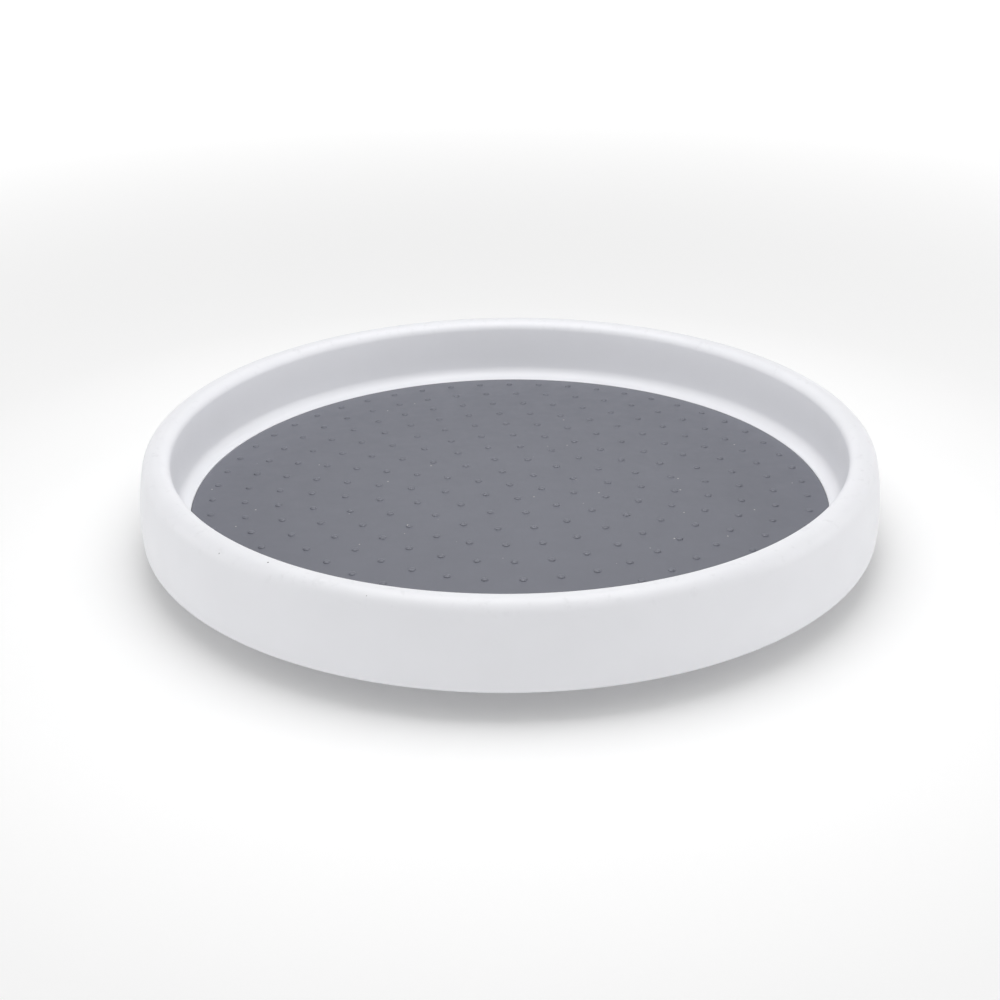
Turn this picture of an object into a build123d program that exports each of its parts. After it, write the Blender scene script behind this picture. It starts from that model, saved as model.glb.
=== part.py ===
"""Lazy susan turntable: a rimmed tray with a domed-grip mat that turns on a ball race over a footed base.

Units are millimetres. +Z is up, and the origin is on the surface it stands on, on the axis of turning.
"""

from build123d import *
import os
from math import asin, atan2, degrees, sqrt

# Tray, as it is seen from outside
tray_diameter = 304.8  # across the widest part of the skirt
skirt_gap = 11.7  # from the surface it stands on up to the skirt's bottom edge
rim_height = 32.7  # from the skirt's bottom edge up to the crest
belly_rise = 7.5  # the skirt is widest this far above its bottom edge
wall_bow = 90.0  # radius of the outer wall's inward curve
shoulder_radius = 6.0
crest_flat = 1.0  # level width of the crest, between its two rounds
lip_reach = 138.6  # radius of the tray's mouth, below the round that leads into it
wall_foot = 138.2  # radius of the inner wall where its bottom fillet starts
wall_fillet = 5.2
tray_wall = 2.2
crest_wall = 3.0
gusset_count = 24
gusset_bottom = 16.0
skirt_edge_radius = 0.8
tray_rib_bottom = 13.6

# Mat and the floor under it
mat_level = 4.6  # height of the mat's edge above the skirt's bottom edge
mat_thickness = 1.5
floor_crown = 3.0  # how much higher the floor is at the centre than at the mat's edge
seat_radius = 133.0  # the shallow seat that the mat lies in
mat_clearance = 0.1
mat_glue = 0.02
dome_rings = 9
dome_pitch = 13.85  # from ring to ring
dome_radius = 1.5
dome_height = 0.65
dome_turn = 43.3  # degrees by which the pattern is turned about the centre

# Ball race
ball_count = 16
ball_radius = 3.175  # quarter-inch balls
race_radius = 80.0
race_level = 8.4  # height of the balls' centres
groove_radius = 3.35
groove_play = 0.045  # between a ball and the bottom of either groove
track_width = 9.6
track_gap = 2.0  # from the balls' centres to the face of either track
cage_height = 2.0
cage_width = 3.6
pocket_play = 0.125
eye_wall = 1.7  # cage material round each ball

# Base
base_radius = 106.4
base_underside = 2.0
base_floor = 2.2
base_rim_top = 9.6
base_rib_top = 6.0
base_corner_radius = 1.6
rib_thickness = 1.6
rib_count = 12
foot_count = 6
foot_circle = 94.0
foot_radius = 6.5
foot_pocket = 1.0
foot_play = 0.05
foot_round = 0.8
foot_collar_wall = 1.6
foot_collar_drop = 0.8
collar_root = 0.4  # how far a foot collar runs up into the dish

# Pivot
post_radius = 6.0
post_end = 5.6
bush_play = 0.08
bush_wall = 1.4
bush_flange = 1.0
bush_seat_play = 0.02
hub_top = 12.2
hub_underside = 5.8
hub_sleeve = 10.5
hub_cap = 15.2
recess_radius = 13.0
collar_radius = 9.5
collar_play = 0.2
post_chamfer = 0.4
bush_chamfer = 0.25
washer_radius = 9.0
washer_thickness = 1.0
washer_play = 0.15
washer_round = 0.25
screw_length = 8.0
screw_core = 1.45
screw_thread = 1.95
screw_pitch = 1.25
screw_head_radius = 3.9
screw_head_height = 2.1
screw_head_flat = 0.45  # share of the head's radius that is flat
screw_head_shoulder = 0.84  # share of the radius where the head's curve turns down
screw_head_curve = 0.62  # share of the head's height that is curved
screw_head_shoulder_rise = 0.32  # share of that curve below its shoulder
screw_lead = 0.4  # plain shank under the head
screw_point = 0.8
screw_point_share = 0.6  # radius of the tip as a share of the core
thread_half = 0.3  # half the width of a thread ridge at its root
cross_length = 4.2
cross_width = 0.9
cross_depth = 1.2
pilot_play = 0.05
pilot_spare = 0.8  # how far the pilot hole runs past the screw

# Worked out from the above
tray_radius = tray_diameter / 2
crest = skirt_gap + rim_height
mat_edge = skirt_gap + mat_level
seat = mat_edge - mat_thickness
floor_underside = seat - tray_wall
mean_radius = (wall_foot + lip_reach) / 2
crown_radius = (seat_radius**2 + floor_crown**2) / (2 * floor_crown)
bow_radius = tray_radius - wall_bow
bow_level = skirt_gap + belly_rise
bush_bore = post_radius + bush_play
bush_radius = bush_bore + bush_wall
overlap = 1.0  # how far joined features run into each other before they are fused


def crown(radius, edge_level):
    """Height of the crowned floor at a radius, for a floor that is at edge_level under the mat's edge."""
    return edge_level + sqrt(crown_radius**2 - radius**2) - (crown_radius - floor_crown)


def crown_line(outer, inner, edge_level):
    """The crowned floor's line from one radius to another."""
    middle = (outer + inner) / 2
    ends = [(radius, crown(radius, edge_level)) for radius in (outer, middle, inner)]
    return ThreePointArc(*ends)


def crown_bands(radius, edge_level):
    """The crowned floor out to a radius, as shallow cones that meet half-way between the dome rings."""
    edges = [0, *[(number + 0.5) * dome_pitch for number in range(dome_rings)], radius]
    return [(edge, crown(edge, edge_level)) for edge in edges]


def bow(height, inset=0.0):
    """Radius of the outer wall at a height, or of the surface that lies inset behind it."""
    return bow_radius + sqrt((wall_bow - inset) ** 2 - (height - bow_level) ** 2)


def bow_line(low, high, inset=0.0):
    """The outer wall's line, or the one that lies inset behind it, between two heights."""
    levels = (low, (low + high) / 2, high)
    return ThreePointArc(*[(bow(level, inset), level) for level in levels])


def turned(outline):
    """Solid of revolution about the vertical axis, from closed lines of (radius, height)."""
    return revolve(Plane.XZ * make_face(outline), Axis.Z)


def ring(inner, outer, low, high):
    """Plain ring or disc between two radii and two heights."""
    corners = [(inner, low), (outer, low), (outer, high), (inner, high)]
    return turned(Polyline(*corners, close=True).edges())


def webs(region, count):
    """Radial walls that fill a turned region, evenly spaced about the centre."""
    reach = tray_radius
    blade = Pos(reach / 2, 0, reach / 4) * Box(reach, rib_thickness, reach)
    turns = [Rot(0, 0, 360 / count * step) for step in range(count)]
    return [region & (turn * blade) for turn in turns]


def rim_hollow_lines():
    """Lines round the inside of the hollow rim, from the skirt's edge to the turn under the fillet."""
    ceiling = crest - crest_wall
    back = mean_radius + tray_wall
    turn_level = mat_edge + wall_fillet
    turn = CenterArc((seat_radius, turn_level), back - seat_radius, 0, -75)
    return [
        bow_line(skirt_gap, ceiling, tray_wall),
        Line((bow(ceiling, tray_wall), ceiling), (back, ceiling)),
        Line((back, ceiling), (back, turn_level)),
        turn,
    ]


def tray_shell():
    """Floor, inner wall, crest and skirt in one even wall, with the shallow seat that the mat lies in."""
    round_level = crest - shoulder_radius
    rise = round_level - bow_level
    reach = sqrt((wall_bow - shoulder_radius) ** 2 - rise**2)
    round_centre = (bow_radius + reach, round_level)
    leave_angle = degrees(atan2(rise, reach))
    shoulder = CenterArc(round_centre, shoulder_radius, leave_angle, 90 - leave_angle)
    fillet_level = mat_edge + wall_fillet
    lip_centre = round_centre[0] - crest_flat
    lip_radius = lip_centre - lip_reach
    lip_level = crest - lip_radius
    hollow = rim_hollow_lines()
    turn_end = hollow[-1] @ 1
    under_edge = (turn_end.X, crown(turn_end.X, floor_underside))
    outline = [
        *Polyline(*crown_bands(seat_radius, seat)).edges(),
        Line((seat_radius, seat), (seat_radius, mat_edge)),
        CenterArc((seat_radius, fillet_level), wall_foot - seat_radius, -90, 90),
        Line((wall_foot, fillet_level), (lip_reach, lip_level)),
        CenterArc((lip_centre, lip_level), lip_radius, 90, 90),
        Line((lip_centre, crest), (round_centre[0], crest)),
        shoulder,
        bow_line(skirt_gap, (shoulder @ 0).Y),
        Line((bow(skirt_gap), skirt_gap), (bow(skirt_gap, tray_wall), skirt_gap)),
        *hollow,
        Line((turn_end.X, turn_end.Y), under_edge),
        crown_line(under_edge[0], 0, floor_underside),
        Line((0, crown(0, floor_underside)), (0, crown(0, seat))),
    ]
    shell = turned(outline)
    skirt_edges = shell.edges().filter_by(GeomType.CIRCLE).group_by(Axis.Z)[0]
    return fillet(skirt_edges, skirt_edge_radius)


def rim_gussets():
    """Thin walls across the hollow rim, between the inner wall and the skirt."""
    ceiling = crest - crest_wall + overlap
    back = mean_radius + tray_wall - overlap
    inset = tray_wall - overlap
    outline = [
        bow_line(gusset_bottom, ceiling, inset),
        Line((bow(ceiling, inset), ceiling), (back, ceiling)),
        Line((back, ceiling), (back, gusset_bottom)),
        Line((back, gusset_bottom), (bow(gusset_bottom, inset), gusset_bottom)),
    ]
    return webs(turned(outline), gusset_count)


def floor_ribs():
    """Radial ribs under the tray's floor, shallow at the rim and deeper at the centre."""
    middle = floor_underside + overlap
    outline = [
        crown_line(collar_radius - overlap, seat_radius, middle),
        Line((seat_radius, middle), (seat_radius, tray_rib_bottom)),
        Line((seat_radius, tray_rib_bottom), (collar_radius - overlap, tray_rib_bottom)),
        Line(
            (collar_radius - overlap, tray_rib_bottom),
            (collar_radius - overlap, crown(collar_radius - overlap, middle)),
        ),
    ]
    return webs(turned(outline), rib_count)


def groove(level):
    """Round-bottomed ball groove, as a ring to cut away."""
    return Pos(0, 0, level) * Torus(race_radius, groove_radius)


def track(low, high):
    """Raised ring that carries one of the ball grooves."""
    return ring(race_radius - track_width / 2, race_radius + track_width / 2, low, high)


def make_tray():
    """Moulded tray: shell, ribs, upper ball track, and the post that turns in the base's hub."""
    under_centre = crown(0, floor_underside) + overlap
    upper_face = race_level + track_gap
    groove_top = race_level + ball_radius + groove_play
    collar = ring(0, collar_radius, hub_top + bush_flange + collar_play, under_centre)
    post = ring(0, post_radius, post_end, under_centre)
    track_root = crown(race_radius, floor_underside) + overlap
    tray = tray_shell() + rim_gussets() + floor_ribs()
    tray += [collar, chamfer(post.edges().group_by(Axis.Z)[0], post_chamfer), track(upper_face, track_root)]
    tray -= groove(groove_top - groove_radius)
    pilot_top = post_end + screw_length + pilot_spare
    return tray - ring(0, screw_thread + pilot_play, post_end, pilot_top)


def dome():
    """One low grip dome: the top of a ball, which runs on down into the mat to half its thickness."""
    ball = (dome_radius**2 + dome_height**2) / (2 * dome_height)
    centre = dome_height - ball
    root = -mat_thickness / 2
    root_angle = degrees(asin((root - centre) / ball))
    cap = CenterArc((0, centre), ball, root_angle, 90 - root_angle)
    return turned([cap, Line((0, dome_height), (0, root)), Line((0, root), ((cap @ 0).X, root))])


def make_mat():
    """Soft grip mat, crowned like the floor, with six more domes on each ring than on the one inside it."""
    radius = seat_radius - mat_clearance
    above = crown_bands(radius, mat_edge)
    below = crown_bands(radius, seat + mat_glue)
    mat = turned(Polyline(*above, *reversed(below), close=True).edges())
    one_dome = dome()
    for number in range(dome_rings + 1):
        at = number * dome_pitch
        height = crown(at, mat_edge)
        spots = PolarLocations(at, max(1, 6 * number), dome_turn)
        mat += [Pos(0, 0, height) * spot * one_dome for spot in spots]
    return mat


def make_base():
    """Moulded base: dish with a turned-up rim, lower ball track, ribs, hub and foot pockets."""
    floor_top = base_underside + base_floor
    rim_wall = base_radius - base_floor
    corners = [
        (recess_radius, base_underside),
        (base_radius, base_underside),
        (base_radius, base_rim_top),
        (rim_wall, base_rim_top),
        (rim_wall, floor_top),
        (hub_cap, floor_top),
        (hub_cap, hub_underside + base_floor),
        (hub_sleeve, hub_underside + base_floor),
        (hub_sleeve, hub_top),
        (bush_radius + bush_seat_play, hub_top),
        (bush_radius + bush_seat_play, hub_underside),
        (recess_radius, hub_underside),
    ]
    dish = turned(Polyline(*corners, close=True).edges())
    outer_corner = dish.edges().filter_by(GeomType.CIRCLE).group_by(Axis.Z)[0].sort_by(SortBy.RADIUS)[-1]
    dish = fillet(outer_corner, base_corner_radius)
    ribs = webs(ring(hub_cap - overlap, base_radius - overlap, floor_top - overlap, base_rib_top), rib_count)
    dish += [*ribs, track(floor_top - overlap, race_level - track_gap)]
    dish -= groove(race_level - ball_radius - groove_play + groove_radius)
    pocket_top = base_underside + foot_pocket
    collar_out = foot_radius + foot_collar_wall
    collar = ring(0, collar_out, base_underside - foot_collar_drop, base_underside + collar_root)
    places = PolarLocations(foot_circle, foot_count, 360 / foot_count / 2)
    dish += [spot * collar for spot in places]
    return dish - [spot * ring(0, foot_radius + foot_play, 0, pocket_top) for spot in places]


def make_foot():
    """Round rubber foot with softened edges, as it stands on its own centre line."""
    top = base_underside + foot_pocket
    foot = ring(0, foot_radius, 0, top)
    return fillet(foot.edges().group_by(Axis.Z)[0], foot_round)


def make_bush():
    """Flanged plastic bush that lines the hub."""
    sleeve = ring(bush_bore, bush_radius, hub_underside, hub_top + bush_flange)
    flange = ring(bush_bore, collar_radius, hub_top, hub_top + bush_flange)
    bush = sleeve + flange
    return chamfer(bush.edges().filter_by(GeomType.CIRCLE).group_by(Axis.Z)[-1], bush_chamfer)


def make_washer():
    """Steel washer that the screw clamps to the post's end, wider than the hub's bore."""
    washer = ring(screw_thread + washer_play, washer_radius, post_end - washer_thickness, post_end)
    return fillet(washer.edges().group_by(Axis.Z)[0], washer_round)


def make_screw():
    """Pan-head screw with a cross recess, and thread ridges drawn as plain rings."""
    under_head = post_end - washer_thickness
    bottom = under_head - screw_head_height
    curve_height = screw_head_height * screw_head_curve
    flat = (screw_head_radius * screw_head_flat, bottom)
    shoulder = (screw_head_radius * screw_head_shoulder, bottom + curve_height * screw_head_shoulder_rise)
    side = (screw_head_radius, bottom + curve_height)
    head = [
        Line((0, bottom), flat),
        ThreePointArc(flat, shoulder, side),
        Line(side, (screw_head_radius, under_head)),
        Line((screw_head_radius, under_head), (0, under_head)),
        Line((0, under_head), (0, bottom)),
    ]
    tip = under_head + screw_length
    thread_start = under_head + screw_lead
    ridges = int((screw_length - screw_pitch) / screw_pitch)
    flank = [(0, under_head - overlap), (screw_core, under_head - overlap), (screw_core, thread_start)]
    for number in range(ridges):
        level = thread_start + (number + 0.5) * screw_pitch
        flank += [(screw_core, level - thread_half), (screw_thread, level), (screw_core, level + thread_half)]
    flank += [(screw_core, tip - screw_point), (screw_core * screw_point_share, tip), (0, tip)]
    shank = turned(Polyline(*flank, close=True).edges())
    slot = Pos(0, 0, bottom + cross_depth / 2) * Box(cross_length, cross_width, cross_depth)
    return turned(head) + shank - slot - Rot(0, 0, 90) * slot


def make_ball():
    """One steel ball, centred on its own middle."""
    return Sphere(ball_radius)


def make_cage(ball_places):
    """Thin plastic ring with a rounded eye for each ball, cut to the ball's shape so that it snaps in."""
    low = race_level - cage_height / 2
    high = race_level + cage_height / 2
    cage = ring(race_radius - cage_width / 2, race_radius + cage_width / 2, low, high)
    eye = Cylinder(ball_radius + eye_wall, cage_height)
    pocket = Sphere(ball_radius + pocket_play)
    cage += [place * eye for place in ball_places]
    return cage - [place * pocket for place in ball_places]


def write(node, shape):
    """Writes one piece, a single solid, to its own file."""
    export_step(shape.solid(), f"parts/{node}.step")


os.makedirs("parts", exist_ok=True)
ball_places = Pos(0, 0, race_level) * PolarLocations(race_radius, ball_count)
foot_places = PolarLocations(foot_circle, foot_count, 360 / foot_count / 2)

write("tray", make_tray())
write("mat", make_mat())
write("base_dish", make_base())
write("hub_bush", make_bush())
write("pivot_washer", make_washer())
write("pivot_screw", make_screw())
write("ball_cage", make_cage(ball_places))
for number, place in enumerate(ball_places, start=1):
    write(f"ball_{number:02d}", place * make_ball())
for number, place in enumerate(foot_places, start=1):
    write(f"foot_{number}", place * make_foot())
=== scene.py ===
import math

import bpy
import numpy as np
from mathutils import Matrix, Vector


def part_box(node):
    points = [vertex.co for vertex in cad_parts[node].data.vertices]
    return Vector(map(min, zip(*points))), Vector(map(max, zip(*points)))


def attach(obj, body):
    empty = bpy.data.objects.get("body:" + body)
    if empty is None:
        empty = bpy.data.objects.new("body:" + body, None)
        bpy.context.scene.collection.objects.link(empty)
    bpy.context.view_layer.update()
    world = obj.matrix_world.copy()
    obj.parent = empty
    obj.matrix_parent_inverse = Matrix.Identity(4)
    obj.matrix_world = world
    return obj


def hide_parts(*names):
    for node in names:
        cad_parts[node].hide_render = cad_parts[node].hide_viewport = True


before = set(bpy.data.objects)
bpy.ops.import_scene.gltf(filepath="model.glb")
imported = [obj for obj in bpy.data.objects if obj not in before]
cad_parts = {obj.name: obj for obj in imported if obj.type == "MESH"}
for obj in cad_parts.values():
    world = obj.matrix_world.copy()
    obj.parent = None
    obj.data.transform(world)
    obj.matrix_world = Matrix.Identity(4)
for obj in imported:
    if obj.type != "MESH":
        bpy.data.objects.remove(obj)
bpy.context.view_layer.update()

# Feet: six soft rubber buttons, moulded with a tread of fine rings and pressed into pockets under the
# base. They are turned shapes, so the way to draw a turned shape is given here. All sizes are in
# millimetres, and mm turns them into metres.
mm = 0.001


def box_of(node):
    """Lowest and highest corner of a node in millimetres, rounded to a hundredth."""
    return [np.round(np.array(corner) / mm, 2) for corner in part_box(node)]


def eased(outline, steps=4):
    """Outline of (radius, height) points in which a point with a third number, its round, becomes an
    arc of that radius. The arc's centre lies on the corner's bisector, round / sin(half the corner)
    away, and its points are weighted sums of the two ends by the sines of the angles left and done."""
    soft = []
    for place, point in enumerate(outline):
        if len(point) < 3:
            soft.append(list(point))
            continue
        corner = np.array(point[:2])
        back = np.array(outline[place - 1][:2]) - corner
        ahead = np.array(outline[(place + 1) % len(outline)][:2]) - corner
        back, ahead = back / np.linalg.norm(back), ahead / np.linalg.norm(ahead)
        half = math.acos(np.clip(back @ ahead, -1, 1)) / 2
        bisector = (back + ahead) / np.linalg.norm(back + ahead)
        centre = corner + bisector * point[2] / math.sin(half)
        reach = point[2] / math.tan(half)
        first, last = corner + back * reach - centre, corner + ahead * reach - centre
        done = np.linspace(0, 1, steps + 1)[:, None]
        sweep = math.pi - 2 * half
        curve = np.sin(sweep * (1 - done)) * first + np.sin(sweep * done) * last
        soft.extend((centre + curve / math.sin(sweep)).tolist())
    return soft


def turned(profile, facets, centre=(0.0, 0.0)):
    """Surface of revolution: a profile point (r, z) at turn a stands at (r cos a, r sin a, z) from the
    centre. A profile runs from the axis over the top, outwards, down and back underneath; one that
    keeps off the axis closes on itself as a ring."""
    profile = np.array(profile, float)
    solid = profile[0, 0] == 0
    rings = profile[1:-1] if solid else profile
    turn = np.linspace(0, 2 * math.pi, facets, endpoint=False)
    across = centre[0] + rings[:, :1] * np.cos(turn)
    along = centre[1] + rings[:, :1] * np.sin(turn)
    upward = np.repeat(rings[:, 1:], facets, axis=1)
    points = np.stack([across, along, upward], axis=-1).reshape(-1, 3)
    here = np.arange(len(points)).reshape(len(rings), facets)
    under = here[1:] if solid else np.roll(here, -1, axis=0)
    above = here[:-1] if solid else here
    corners = [above, under, np.roll(under, -1, axis=1), np.roll(above, -1, axis=1)]
    quads = np.stack(corners, axis=-1).reshape(-1, 4)
    if not solid:
        return points * mm, quads, np.zeros((0, 3), int)
    poles = np.array([[*centre, profile[0, 1]], [*centre, profile[-1, 1]]])
    top, bottom = len(points), len(points) + 1
    first, last = here[0], here[-1]
    fans = np.vstack([
        np.stack([np.full(facets, top), first, np.roll(first, -1)], axis=-1),
        np.stack([np.full(facets, bottom), np.roll(last, -1), last], axis=-1),
    ])
    return np.vstack([points, poles]) * mm, quads, fans


def make_piece(name, shell, material, body, node, crease=32):
    """Turns a shell (points, four-cornered faces, three-cornered faces) into a smooth piece that rides
    on a body and stands for its CAD node. Edges sharper than crease, in degrees, stay sharp."""
    points, quads, fans = shell
    mesh = bpy.data.meshes.new(name)
    mesh.from_pydata(points.tolist(), [], quads.tolist() + fans.tolist())
    mesh.polygons.foreach_set("use_smooth", [True] * len(mesh.polygons))
    mesh.set_sharp_from_angle(angle=math.radians(crease))
    mesh.materials.append(material)
    mesh.update()
    piece = bpy.data.objects.new(name, mesh)
    bpy.context.scene.collection.objects.link(piece)
    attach(piece, body)
    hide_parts(node)


def add_node(tree, kind, settings=None, **values):
    """One shader node, with its properties from settings and its unlinked inputs from values."""
    node = tree.nodes.new(kind)
    for name, value in (settings or {}).items():
        setattr(node, name, value)
    for name, value in values.items():
        node.inputs[name.replace("_", " ")].default_value = value
    return node


def blank_material(name):
    """New node material, as (material, node tree, shader, the piece's own coordinates)."""
    material = bpy.data.materials.new(name)
    material.use_nodes = True
    tree = material.node_tree
    place = add_node(tree, "ShaderNodeTexCoord").outputs["Object"]
    return material, tree, tree.nodes["Principled BSDF"], place


def ramp(tree, value, start, end, at_start=0.0, at_end=1.0):
    """Straight ramp from at_start to at_end as a value goes from start to end, level beyond both."""
    node = add_node(tree, "ShaderNodeMapRange", {"clamp": True})
    for name, level in zip(("From Min", "From Max", "To Min", "To Max"), (start, end, at_start, at_end)):
        node.inputs[name].default_value = level
    tree.links.new(value, node.inputs["Value"])
    return node.outputs["Result"]


def grain(tree, place, size, detail=2.0, low=0.0, high=1.0):
    """Noise whose blobs are about size metres across. Its usual span, 0.3 to 0.7, becomes low to high."""
    noise = add_node(tree, "ShaderNodeTexNoise", Scale=1 / size, Detail=detail, Roughness=0.55)
    tree.links.new(place, noise.inputs["Vector"])
    return ramp(tree, noise.outputs["Fac"], 0.3, 0.7, low, high)


def between(tree, share, start, end):
    """Colour that goes from start to end as share goes from 0 to 1; each is a colour or a socket."""
    mix = add_node(tree, "ShaderNodeMix", {"data_type": "RGBA"})
    tree.links.new(share, mix.inputs["Factor"])
    for name, colour in (("A", start), ("B", end)):
        socket = next(s for s in mix.inputs if s.name == name and s.type == "RGBA")
        if isinstance(colour, tuple):
            socket.default_value = (*colour, 1)
        else:
            tree.links.new(colour, socket)
    return next(s for s in mix.outputs if s.type == "RGBA")


def raise_skin(tree, shader, height, depth):
    """Bump from a height that runs from 0 to 1, depth metres deep."""
    bump = add_node(tree, "ShaderNodeBump", Strength=1.0, Distance=depth)
    tree.links.new(height, bump.inputs["Height"])
    tree.links.new(bump.outputs["Normal"], shader.inputs["Normal"])


def soft_rubber(name, colour, bloom_colour, rough, skin_depth):
    """Rubber that has been handled: a powdery bloom in blotches over a fine sandy skin."""
    material, tree, shader, place = blank_material(name)
    bloom = ramp(tree, grain(tree, place, 2.5 * mm, detail=4.0), 0.35, 1.0)
    tree.links.new(between(tree, bloom, colour, bloom_colour), shader.inputs["Base Color"])
    worn = grain(tree, place, 2 * mm, detail=3.0, low=rough - 0.06, high=rough + 0.06)
    tree.links.new(worn, shader.inputs["Roughness"])
    raise_skin(tree, shader, grain(tree, place, 0.3 * mm, detail=3.0), skin_depth)
    return material


foot_rubber = soft_rubber(
    "foot_rubber", colour=(0.075, 0.08, 0.09), bloom_colour=(0.12, 0.125, 0.135),
    rough=0.72, skin_depth=0.03 * mm,
)
foot_numbers = range(1, 7)
foot_facets = 48
foot_top_round = 0.25
foot_sole_round = 0.8
tread_rings = (1.9, 3.1, 4.3)
tread_depth = 0.25
tread_mouth = 0.42
tread_bed = 0.2
tread_mouth_round = 0.1
tread_bed_round = 0.08


def foot_outline(radius, top):
    """Half-section of a foot: flat top, straight side, rounded sole edge, and a tread of rings, each a
    shallow groove that narrows from tread_mouth to tread_bed on either side of its middle."""
    tread = []
    for ring in reversed(tread_rings):
        tread += [
            (ring + tread_mouth, 0.0, tread_mouth_round), (ring + tread_bed, tread_depth, tread_bed_round),
            (ring - tread_bed, tread_depth, tread_bed_round), (ring - tread_mouth, 0.0, tread_mouth_round),
        ]
    side = [(radius, top, foot_top_round), (radius, 0.0, foot_sole_round)]
    return eased([(0.0, top), *side, *tread, (0.0, 0.0)], steps=3)


for number in foot_numbers:
    low, high = box_of(f"foot_{number}")
    foot_radius, middle = (high[0] - low[0]) / 2, (low + high) / 2
    foot = turned(foot_outline(foot_radius, high[2]), foot_facets, middle[:2])
    make_piece(f"foot_button_{number}", foot, foot_rubber, "base", f"foot_{number}")

# Base: one dish moulded in the tray's own white plastic, with a turned-up rim, the lower ball groove on a
# raised track, twelve ribs and a hub in the middle. Underneath it has shallow steps and foot collars.
def combined(tree, first, second, share):
    """first plus share times second."""
    node = add_node(tree, "ShaderNodeMath", {"operation": "MULTIPLY_ADD"})
    tree.links.new(second, node.inputs[0])
    node.inputs[1].default_value = share
    tree.links.new(first, node.inputs[2])
    return node.outputs[0]


def product(tree, first, second):
    """first times second."""
    node = add_node(tree, "ShaderNodeMath", {"operation": "MULTIPLY"})
    tree.links.new(second, node.inputs[0])
    tree.links.new(first, node.inputs[1])
    return node.outputs[0]


def specks(tree, place, apart, radius):
    """Sparse round specks: 1 where the nearest of a set of scattered points, about apart metres from
    each other, is within 0.6 of the radius, and falling to 0 at the radius."""
    scatter = add_node(tree, "ShaderNodeTexVoronoi", Scale=1 / apart, Randomness=1.0)
    tree.links.new(place, scatter.inputs["Vector"])
    return ramp(tree, scatter.outputs["Distance"], 0.6 * radius / apart, radius / apart, 1.0, 0.0)


speck_radius = 0.4 * mm
dust_grey = (0.10, 0.10, 0.10)
mottle_shade = 0.975
rub_shade = 0.93
rub_span = (0.62, 0.95)
rub_low_down = 0.15
rub_dulling = 0.12
wave_share = 5.0


def moulded_plastic(name, colour, gloss, skin_depth, handled=None):
    """Injection-moulded plastic: faint flow mottling, a satin skin with slow waves whose roughness is
    between the two in gloss, and fine rubbing marks. Between the two heights in handled the marks grow,
    and dark specks of dust settle near the upper one."""
    material, tree, shader, place = blank_material(name)
    mottled = tuple(part * mottle_shade for part in colour)
    rubbed_colour = tuple(part * rub_shade for part in colour)
    skin = between(tree, grain(tree, place, 30 * mm), colour, mottled)
    rubbed = ramp(tree, grain(tree, place, 3.5 * mm, detail=7.0), *rub_span)
    if handled:
        separate = add_node(tree, "ShaderNodeSeparateXYZ")
        tree.links.new(place, separate.inputs[0])
        height = separate.outputs["Z"]
        rubbed = product(tree, rubbed, ramp(tree, height, *handled, rub_low_down, 1.0))
        near_top = ramp(tree, height, handled[1] - 2.5 * mm, handled[1] - 1.5 * mm)
        dust = product(tree, specks(tree, place, 12 * mm, speck_radius), near_top)
        skin = between(tree, dust, skin, dust_grey)
    marked = between(tree, product(tree, rubbed, rubbed), skin, rubbed_colour)
    tree.links.new(marked, shader.inputs["Base Color"])
    satin = grain(tree, place, 12 * mm, detail=3.0, low=gloss[0], high=gloss[1])
    tree.links.new(combined(tree, satin, rubbed, rub_dulling), shader.inputs["Roughness"])
    shader.inputs["Subsurface Weight"].default_value = 0.06
    shader.inputs["Subsurface Radius"].default_value = (1.0, 0.95, 0.9)
    shader.inputs["Subsurface Scale"].default_value = 2 * mm
    shader.inputs["IOR"].default_value = 1.49
    waves = grain(tree, place, 30 * mm, detail=1.0)
    raise_skin(tree, shader, combined(tree, grain(tree, place, 0.4 * mm), waves, wave_share), skin_depth)
    return material


base_white = moulded_plastic("base_white", (0.80, 0.80, 0.805), gloss=(0.36, 0.5), skin_depth=0.005 * mm)
base_wall = 2.2
base_facets = 256
dish_radius = box_of("base_dish")[1][0]
dish_rim_top = 9.6
dish_under = 2.0
dish_floor = dish_under + base_wall
rib_top = 6.0
rib_thickness = 1.6
rib_count = 12
rib_sink = 0.4
rib_rim_sink = 1.0
free_edge_round = 0.3
race_radius = 80.0
race_level = 8.4
ball_radius = 3.175
groove_radius = 3.35
groove_play = 0.045
track_half = 4.8
track_gap = 2.0
track_inner, track_outer = race_radius - track_half, race_radius + track_half
hub_cap_radius = 15.2
hub_radius = 10.5
hub_top = 12.2
hub_roof = 5.8
recess_radius = 13.0
bush_seat = 7.5
under_steps = ((26.0, 36.0), (46.0, 58.0), (66.0, 84.0))
step_depth = 0.5
step_slope = 0.6
collar_outer = 8.1
collar_inner = 6.55
collar_drop = 0.8
collar_sink = 0.2


def arc(centre, radius, start, end, steps):
    """Points of a circle, start to end in degrees: centre + radius (cos a, sin a)."""
    turn = np.radians(np.linspace(start, end, steps + 1))
    circle = np.stack([np.cos(turn), np.sin(turn)], axis=1)
    return (np.array(centre) + radius * circle).tolist()


def groove_line(centre_level, face_level, side):
    """Arc of a ball groove from one edge of its mouth to the other, where the face of its track is at
    face_level: the angle whose cosine is the face's distance from the groove's centre over its radius,
    either way of straight up when side is 1, above the ball, or straight down when it is -1."""
    spread = math.degrees(math.acos(abs(face_level - centre_level) / groove_radius))
    start, end = side * (90 - spread), side * (90 + spread)
    return arc((race_radius, centre_level), groove_radius, start, end, steps=14)


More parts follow.
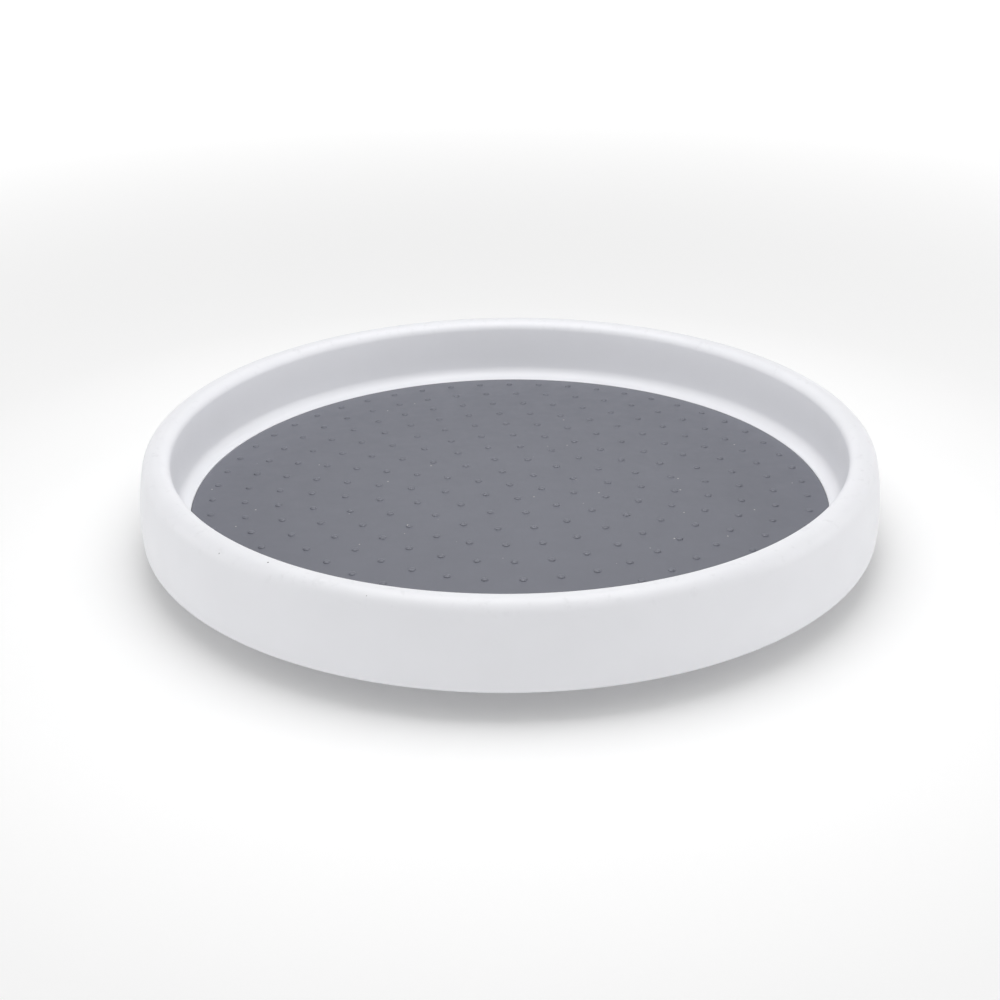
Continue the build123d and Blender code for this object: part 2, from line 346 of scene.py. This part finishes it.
def outward(shell):
    """Turns a closed shell's faces outward: the sum of the volumes of the tetrahedra between its middle
    and its faces must be positive."""
    points, quads, fans = shell
    corner = points - points.mean(axis=0)
    first, second, third, fourth = (corner[quads[:, column]] for column in range(4))
    volume = (np.cross(first, second) * third).sum() + (np.cross(first, third) * fourth).sum()
    return (points, quads, fans) if volume > 0 else (points, quads[:, ::-1], fans[:, ::-1])


def plate(free, rooted, thickness):
    """Upright radial plate between two lines of (radius, height): its section is a flat bar whose free
    edge is softened, carried along both lines at once. Two faces close each six-cornered end."""
    free, rooted = np.array(free, float), np.array(rooted, float)
    inward = (rooted - free) / np.linalg.norm(rooted - free, axis=1)[:, None]
    soft = free + free_edge_round * inward
    half = thickness / 2
    edge = half - free_edge_round
    section = [(rooted, -half), (soft, -half), (free, -edge), (free, edge), (soft, half), (rooted, half)]
    lines = [np.stack([line[:, 0], np.full(len(line), y), line[:, 1]], axis=-1) for line, y in section]
    points = np.stack(lines, axis=1).reshape(-1, 3)
    here = np.arange(len(points)).reshape(-1, len(section))
    beside = np.roll(here, -1, axis=1)
    sides = np.stack([here[:-1], beside[:-1], beside[1:], here[1:]], axis=-1).reshape(-1, 4)
    first, last = here[0], here[-1]
    ends = np.array([first[[5, 4, 1, 0]], first[[4, 3, 2, 1]], last[[0, 1, 4, 5]], last[[1, 2, 3, 4]]])
    return outward((points * mm, np.vstack([sides, ends]), np.zeros((0, 3), int)))


def joined(shells):
    """Several shells as one: their points in a row, each shell's faces counted on from the last one's."""
    starts = np.cumsum([0, *[len(points) for points, quads, fans in shells[:-1]]])
    return (
        np.vstack([points for points, quads, fans in shells]),
        np.vstack([quads + start for (points, quads, fans), start in zip(shells, starts)]),
        np.vstack([fans + start for (points, quads, fans), start in zip(shells, starts)]),
    )


def spread_round(shell, count):
    """Copies of a shell evenly turned about the upright axis: x cos a - y sin a, x sin a + y cos a, z."""
    points, quads, fans = shell
    copies = []
    for turn in np.linspace(0, 2 * math.pi, count, endpoint=False):
        cosine, sine = math.cos(turn), math.sin(turn)
        spin = np.array([[cosine, sine, 0], [-sine, cosine, 0], [0, 0, 1]])
        copies.append((points @ spin, quads, fans))
    return joined(copies)


def base_outline():
    """Section of the dish, closed on itself: top of the hub, out over the track to the rim, back below."""
    face = race_level - track_gap
    groove_centre = race_level - ball_radius - groove_play + groove_radius
    rim_inside = dish_radius - base_wall
    cap_top = hub_roof + base_wall
    hub = [
        (bush_seat, hub_top, 0.2), (hub_radius, hub_top, 0.4), (hub_radius, cap_top, 0.6),
        (hub_cap_radius, cap_top, 0.8), (hub_cap_radius, dish_floor, 0.6),
    ]
    track = [
        (track_inner, dish_floor, 0.5), (track_inner, face, 0.3),
        *sorted(groove_line(groove_centre, face, -1)),
        (track_outer, face, 0.3), (track_outer, dish_floor, 0.5),
    ]
    rim = [
        (rim_inside, dish_floor, 1.0), (rim_inside, dish_rim_top, 0.5),
        (dish_radius, dish_rim_top, 0.9), (dish_radius, dish_under, 1.6),
    ]
    steps = []
    for inner, outer in reversed(under_steps):
        steps += [
            (outer, dish_under, 0.3), (outer - step_slope, dish_under + step_depth, 0.3),
            (inner + step_slope, dish_under + step_depth, 0.3), (inner, dish_under, 0.3),
        ]
    recess = [(recess_radius, dish_under, 0.5), (recess_radius, hub_roof, 0.6), (bush_seat, hub_roof, 0.2)]
    return eased([*hub, *track, *rim, *steps, *recess])


def base_rib(start, end):
    """One level rib on the dish's floor, from one radius to another."""
    reach = np.linspace(start, end, num=16)
    top = np.stack([reach, np.full_like(reach, rib_top)], axis=1)
    root = np.stack([reach, np.full_like(reach, dish_floor - rib_sink)], axis=1)
    return plate(top, root, rib_thickness)


rib_inside_track = base_rib(hub_cap_radius - rib_sink, track_inner + rib_sink)
rib_outside_track = base_rib(track_outer - rib_sink, dish_radius - rib_rim_sink)
base_shells = [turned(base_outline(), base_facets)]
base_shells += [spread_round(rib, rib_count) for rib in (rib_inside_track, rib_outside_track)]
collar_top, collar_bottom = dish_under + collar_sink, dish_under - collar_drop
collar_outline = eased([
    (collar_inner, collar_top), (collar_outer, collar_top),
    (collar_outer, collar_bottom, 0.3), (collar_inner, collar_bottom, 0.15),
], steps=3)
for number in foot_numbers:
    low, high = box_of(f"foot_{number}")
    base_shells.append(turned(collar_outline, foot_facets, ((low + high) / 2)[:2]))
make_piece("base_moulding", joined(base_shells), base_white, "base", "base_dish")

# Hub bush: a flanged sleeve turned from natural acetal and pressed into the hub, in which the post turns.
# It keeps the shape it has in the solid model, and gets the waxy look of acetal.
def finish_node(node, material):
    """Puts a material on every slot of a CAD node."""
    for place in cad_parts[node].material_slots:
        place.material = material


bush_acetal = moulded_plastic("bush_acetal", (0.72, 0.70, 0.62), gloss=(0.22, 0.34), skin_depth=0.003 * mm)
finish_node("hub_bush", bush_acetal)

# Ball race: sixteen quarter-inch balls of bright steel, snapped into a thin cage of grey nylon, that roll
# between the grooves of the base and of the tray.
def bright_steel(name, colour, rough, scratch_depth):
    """Polished or plated steel: a thin film of oil in blotches and fine scratches in every direction."""
    material, tree, shader, place = blank_material(name)
    filmed = tuple(part * 0.9 for part in colour)
    oil = grain(tree, place, 1.5 * mm, detail=3.0)
    tree.links.new(between(tree, oil, colour, filmed), shader.inputs["Base Color"])
    shader.inputs["Metallic"].default_value = 1.0
    worn = grain(tree, place, 0.8 * mm, detail=5.0, low=rough, high=rough + 0.1)
    tree.links.new(worn, shader.inputs["Roughness"])
    raise_skin(tree, shader, grain(tree, place, 0.2 * mm, detail=4.0), scratch_depth)
    return material


cage_nylon = moulded_plastic("cage_nylon", (0.36, 0.37, 0.38), gloss=(0.34, 0.46), skin_depth=0.004 * mm)
ball_steel = bright_steel("ball_steel", (0.70, 0.70, 0.71), rough=0.08, scratch_depth=0.0008 * mm)
finish_node("ball_cage", cage_nylon)
ball_numbers = range(1, 17)
for number in ball_numbers:
    finish_node(f"ball_{number:02d}", ball_steel)

# Tray: one moulding in white plastic, a crowned floor inside a high hollow rim that bellies out and rounds
# over to a soft crest. Underneath it has gussets in the rim, ribs, the upper ball groove and its post.
tray_low, tray_high = box_of("tray")
tray_radius = min(-tray_low[0], -tray_low[1], tray_high[0], tray_high[1])
tray_facets = 288
crest = tray_high[2]
rim_height = 32.7
skirt_bottom = crest - rim_height
belly_height = 7.5
belly_level = skirt_bottom + belly_height
wall_bow = 90.0
bow_centre = tray_radius - wall_bow
shoulder_radius = 6.0
shoulder_level = crest - shoulder_radius
shoulder_rise = shoulder_level - belly_level
shoulder_centre = bow_centre + math.sqrt((wall_bow - shoulder_radius) ** 2 - shoulder_rise**2)
crest_flat = 1.0
crest_wall = 3.0
mouth_radius = 138.6
lip_centre = shoulder_centre - crest_flat
lip_radius = lip_centre - mouth_radius
wall_foot = 138.2
wall_fillet = 5.2
tray_wall = 2.2
wall_back = (wall_foot + mouth_radius) / 2 + tray_wall
skirt_edge_round = 0.7
skirt_clear = 1.2
ceiling = crest - crest_wall
ceiling_clear = 1.6
seat_radius = 133.0
seat_play = 0.1
mat_edge_height = 4.6
mat_edge = skirt_bottom + mat_edge_height
mat_proud = 0.15
mat_thickness = 1.5
seat_level = mat_edge - mat_thickness
floor_crown = 3.0
crown_radius = (seat_radius**2 + floor_crown**2) / (2 * floor_crown)
floor_under = seat_level - tray_wall
corner_clear = 1.0
curve_clear = 1.5
post_radius = 6.0
post_end = tray_low[2]
tray_collar_radius = 9.5
tray_collar_level = 13.4
pilot_radius = 2.0
pilot_depth = 8.8
pilot_top = post_end + pilot_depth
root_sink = 0.5
floor_rib_bottom = 13.6
floor_rib_least = 0.7
gusset_bottom = 16.0
gusset_count = 24


def crowned(radius, edge_level):
    """Height of the crowned floor, the cap of a great ball: edge level + sqrt(R^2 - r^2) - (R - crown)."""
    return edge_level + np.sqrt(crown_radius**2 - np.square(radius)) - (crown_radius - floor_crown)


def crown_points(start, end, edge_level, steps):
    """The crowned floor from one radius to another, as that many (radius, height) points."""
    radius = np.linspace(start, end, steps)
    return np.stack([radius, crowned(radius, edge_level)], axis=1).tolist()


def bowed(level, inset=0.0):
    """Radius of the outer wall's bow at a height, or inset behind it: the bow's centre plus
    sqrt((bow - inset)^2 - (height above the belly)^2)."""
    return bow_centre + np.sqrt((wall_bow - inset) ** 2 - np.square(level - belly_level))


def tray_top():
    """Upper half of the tray's section: the seat, its low wall, the fillet, the inner wall, which is a
    straight line to the lip, and the crest, two arcs with a flat between them."""
    fillet_level, lip_level = mat_edge + wall_fillet, crest - lip_radius
    share = np.array([0.25, 0.5, 0.75])
    inner_wall = np.stack([
        wall_foot + (mouth_radius - wall_foot) * share, fillet_level + (lip_level - fillet_level) * share,
    ], axis=1).tolist()
    leave = math.degrees(math.atan2(shoulder_rise, shoulder_centre - bow_centre))
    return [
        *crown_points(0, seat_radius - corner_clear, seat_level, steps=24),
        (seat_radius, seat_level, 0.3), (seat_radius, mat_edge - mat_proud),
        *arc((seat_radius, fillet_level), wall_foot - seat_radius, -88, 0, steps=12),
        *inner_wall,
        *arc((lip_centre, lip_level), lip_radius, 180, 90, steps=12),
        *arc((shoulder_centre, shoulder_level), shoulder_radius, 90, leave, steps=16),
    ]


def tray_skirt():
    """The outer wall from the shoulder down to its rounded edge, and back up inside the hollow rim."""
    shoulder_end = shoulder_level + shoulder_radius * shoulder_rise / (wall_bow - shoulder_radius)
    levels = np.linspace(shoulder_end, skirt_bottom + skirt_clear, num=22)[1:]
    inside_levels = np.linspace(skirt_bottom + skirt_clear, ceiling - ceiling_clear, num=14)
    return [
        *[(bowed(level), level) for level in levels],
        (bowed(skirt_bottom), skirt_bottom, skirt_edge_round),
        (bowed(skirt_bottom, tray_wall), skirt_bottom, skirt_edge_round),
        *[(bowed(level, tray_wall), level) for level in inside_levels],
        (bowed(ceiling, tray_wall), ceiling, 1.2), (wall_back, ceiling, 1.2),
    ]


def tray_underside():
    """From the back of the inner wall, round under the fillet and along below the floor to the track
    with its groove, the collar, and the post with the screw's pilot hole."""
    face = race_level + track_gap
    groove_centre = race_level + ball_radius + groove_play - groove_radius
    turn = arc((seat_radius, mat_edge + wall_fillet), wall_back - seat_radius, 0, -75, steps=10)
    turn_end = turn[-1][0]
    return [
        *turn, *crown_points(turn_end - curve_clear, track_outer + corner_clear, floor_under, steps=14),
        (track_outer, crowned(track_outer, floor_under), 0.5), (track_outer, face, 0.3),
        *groove_line(groove_centre, face, 1),
        (track_inner, face, 0.3), (track_inner, crowned(track_inner, floor_under), 0.5),
        *crown_points(track_inner - corner_clear, tray_collar_radius + corner_clear, floor_under, steps=16),
        (tray_collar_radius, crowned(tray_collar_radius, floor_under), 0.5),
        (tray_collar_radius, tray_collar_level, 0.3), (post_radius, tray_collar_level, 0.4),
        (post_radius, post_end, 0.5), (pilot_radius, post_end, 0.2),
        (pilot_radius, pilot_top, 0.3), (0.0, pilot_top),
    ]


def rim_gusset():
    """One thin wall across the hollow rim, from the back of the inner wall to the bowed skirt."""
    levels = np.linspace(ceiling + root_sink, gusset_bottom, num=14)
    inner = np.full_like(levels, wall_back - root_sink)
    outer = bowed(levels, tray_wall - root_sink)
    return plate(np.stack([inner, levels], axis=1), np.stack([outer, levels], axis=1), rib_thickness)


def floor_rib():
    """One rib under the floor: its top follows the crown, and its foot is level, but never less than
    floor_rib_least below the top."""
    reach = np.linspace(tray_collar_radius - rib_sink, seat_radius - root_sink, num=36)
    root = crowned(reach, floor_under) + root_sink
    foot = np.minimum(floor_rib_bottom, root - floor_rib_least)
    return plate(np.stack([reach, foot], axis=1), np.stack([reach, root], axis=1), rib_thickness)


tray_white = moulded_plastic(
    "tray_white", (0.818, 0.822, 0.852), gloss=(0.3, 0.42), skin_depth=0.005 * mm,
    handled=(36 * mm, crest * mm),
)
tray_outline = eased([*tray_top(), *tray_skirt(), *tray_underside()])
tray_shells = [
    turned(tray_outline, tray_facets),
    spread_round(rim_gusset(), gusset_count),
    spread_round(floor_rib(), rib_count),
]
make_piece("tray_moulding", joined(tray_shells), tray_white, "turntable", "tray", crease=28)

# Mat: a disc of soft grey elastomer glued into the tray's seat, crowned with it, with low moulded grip
# domes in rings, six more in each ring than in the one inside it.
mat_radius = seat_radius - seat_play
mat_facets = 192
glue_line = 0.02
mat_under = seat_level + glue_line
mat_edge_round = 0.55
dome_rings = 9
dome_pitch = 13.85
dome_radius = 1.5
dome_height = 0.65
dome_sink = 0.4
dome_turn = 43.3
dome_facets = 12


def mat_outline():
    """Section of the mat: crowned top, softened edge, and an underside that follows the seat."""
    return eased([
        *crown_points(0, mat_radius - curve_clear, mat_edge, steps=40),
        (mat_radius, mat_edge, mat_edge_round), (mat_radius, mat_under, 0.15),
        *crown_points(mat_radius - curve_clear, 0, mat_under, steps=16),
    ], steps=5)


def grip_domes():
    """Low domes with full cheeks: at a share s of the foot's radius the height is h (1 - s^3)^(1/1.6).
    Each stands at its ring's radius and turn on the crowned mat, and runs a little way down into it."""
    share = np.array([0.0, 0.4, 0.68, 0.86, 0.96, 1.0])
    reach = np.append(share, [1.0, 0.0]) * dome_radius
    height = np.append(dome_height * (1 - share**3) ** (1 / 1.6), [-dome_sink, -dome_sink])
    cap_points, cap_quads, cap_fans = turned(np.stack([reach, height], axis=1), dome_facets)
    in_ring = [max(1, 6 * number) for number in range(dome_rings + 1)]
    ring = np.repeat(np.arange(dome_rings + 1), in_ring)
    step = np.concatenate([np.arange(count) for count in in_ring])
    turn = np.radians(dome_turn) + 2 * math.pi * step / np.maximum(1, 6 * ring)
    radius = ring * dome_pitch
    foot = np.stack([radius * np.cos(turn), radius * np.sin(turn), crowned(radius, mat_edge)], axis=1) * mm
    points = (foot[:, None, :] + cap_points[None, :, :]).reshape(-1, 3)
    start = (np.arange(len(foot)) * len(cap_points))[:, None, None]
    return points, (cap_quads + start).reshape(-1, 4), (cap_fans + start).reshape(-1, 3)


def elastomer(name, colour, dust_colour, rough, skin_depth):
    """Moulded thermoplastic elastomer: an even satin skin with faint clouding, and a few pale specks."""
    material, tree, shader, place = blank_material(name)
    lighter = tuple(part * 1.05 for part in colour)
    clouded = between(tree, grain(tree, place, 18 * mm, detail=3.0), colour, lighter)
    dust = specks(tree, place, 9.5 * mm, speck_radius)
    tree.links.new(between(tree, dust, clouded, dust_colour), shader.inputs["Base Color"])
    satin = grain(tree, place, 6 * mm, detail=3.0, low=rough - 0.03, high=rough + 0.04)
    tree.links.new(satin, shader.inputs["Roughness"])
    shader.inputs["IOR"].default_value = 1.48
    raise_skin(tree, shader, grain(tree, place, 0.45 * mm, detail=3.0), skin_depth)
    return material


grip_grey = elastomer(
    "grip_grey", (0.155, 0.160, 0.188), dust_colour=(0.55, 0.54, 0.52), rough=0.42, skin_depth=0.006 * mm,
)
mat_shell = joined([turned(mat_outline(), mat_facets), grip_domes()])
make_piece("grip_mat", mat_shell, grip_grey, "turntable", "mat")

# Pivot: a plated steel washer and a pan-head screw, driven up into the post from below once the tray is on,
# hold the two halves together with a little play.
fastener_steel = bright_steel("fastener_steel", (0.62, 0.63, 0.64), rough=0.24, scratch_depth=0.003 * mm)
for node in ("pivot_washer", "pivot_screw"):
    finish_node(node, fastener_steel)

# Studio: a pale seamless floor under an even white surround, one broad soft light overhead, and a soft box
# on each side, so that the walls facing the viewer stay a step darker than the crest and the flanks.
view_rise = math.radians(25.24)
view_distance = 4.371 * tray_radius * mm
view_roll = math.radians(-0.43)
lens_mm = 56.54
sensor_mm = 36
view_shift = (-0.0100, 0.0010)
white = (1.0, 1.0, 1.0, 1.0)
floor_half = 20.0
floor_white = (0.95, 0.95, 0.95, 1.0)
glow_reach = (0.3, 1.3)
glow_strength = (0.11, 0.75)
sky_rise = (0.05, 0.45)
sky_strength = (1.0, 0.42)


def look_at_turntable():
    """Camera in front of the axis, aimed at the skirt's height from view_rise above it, a touch rolled."""
    away = Vector((0, -math.cos(view_rise), math.sin(view_rise)))
    camera = bpy.data.objects.new("camera", bpy.data.cameras.new("camera"))
    camera.data.lens = lens_mm
    camera.data.sensor_width = sensor_mm
    camera.data.shift_x, camera.data.shift_y = view_shift
    stand = Matrix.Translation(Vector((0, 0, skirt_bottom * mm)) + away * view_distance)
    aim = (-away).to_track_quat("-Z", "Y").to_matrix().to_4x4()
    camera.matrix_world = stand @ aim @ Matrix.Rotation(view_roll, 4, "Z")
    bpy.context.scene.collection.objects.link(camera)
    bpy.context.scene.camera = camera


def lay_floor():
    """Very large sheet of pale paper under the object, which glows more the further out it is."""
    corners = [(-floor_half, -floor_half, 0), (floor_half, -floor_half, 0),
               (floor_half, floor_half, 0), (-floor_half, floor_half, 0)]
    mesh = bpy.data.meshes.new("studio_floor")
    mesh.from_pydata(corners, [], [(0, 1, 2, 3)])
    floor = bpy.data.objects.new("studio_floor", mesh)
    bpy.context.scene.collection.objects.link(floor)
    paper, tree, shader, place = blank_material("studio_paper")
    shader.inputs["Base Color"].default_value = floor_white
    shader.inputs["Roughness"].default_value = 0.9
    shader.inputs["Specular IOR Level"].default_value = 0.1
    shader.inputs["Emission Color"].default_value = white
    reach = add_node(tree, "ShaderNodeVectorMath", {"operation": "LENGTH"})
    tree.links.new(place, reach.inputs[0])
    glow = ramp(tree, reach.outputs["Value"], *glow_reach, *glow_strength)
    tree.links.new(glow, shader.inputs["Emission Strength"])
    mesh.materials.append(paper)


def hang_sky():
    """White surround, brightest where it meets the floor."""
    sky = bpy.data.worlds.new("studio_sky")
    sky.use_nodes = True
    tree = sky.node_tree
    height = add_node(tree, "ShaderNodeSeparateXYZ")
    tree.links.new(add_node(tree, "ShaderNodeTexCoord").outputs["Generated"], height.inputs[0])
    backdrop = tree.nodes["Background"]
    backdrop.inputs["Color"].default_value = white
    strength = ramp(tree, height.outputs["Z"], *sky_rise, *sky_strength)
    tree.links.new(strength, backdrop.inputs["Strength"])
    bpy.context.scene.world = sky


def shine(light, place, power):
    """Hangs a light of the given power at a place in metres and aims it at the turntable."""
    light.energy = power
    lamp = bpy.data.objects.new(light.name, light)
    lamp.location = place
    lamp.rotation_euler = (-Vector(place)).to_track_quat("-Z", "Y").to_euler()
    bpy.context.scene.collection.objects.link(lamp)


def sun(name, softness):
    """Far light that comes from a disc of sky of the given width in degrees."""
    light = bpy.data.lights.new(name, "SUN")
    light.angle = math.radians(softness)
    return light


def soft_box(name, width):
    """Square lit panel of the given width in metres."""
    light = bpy.data.lights.new(name, "AREA")
    light.size = width
    return light


look_at_turntable()
lay_floor()
hang_sky()
shine(sun("front_fill", softness=50), (0, -1.2, 1.6), power=0.22)
shine(soft_box("overhead_box", width=0.36), (0, -0.01, 0.36), power=0.88)
shine(soft_box("left_box", width=0.9), (-1.5, 0.1, 0.5), power=3.0)
shine(soft_box("right_box", width=0.9), (1.5, 0.1, 0.5), power=3.8)
bpy.context.scene.view_settings.view_transform = "Standard"
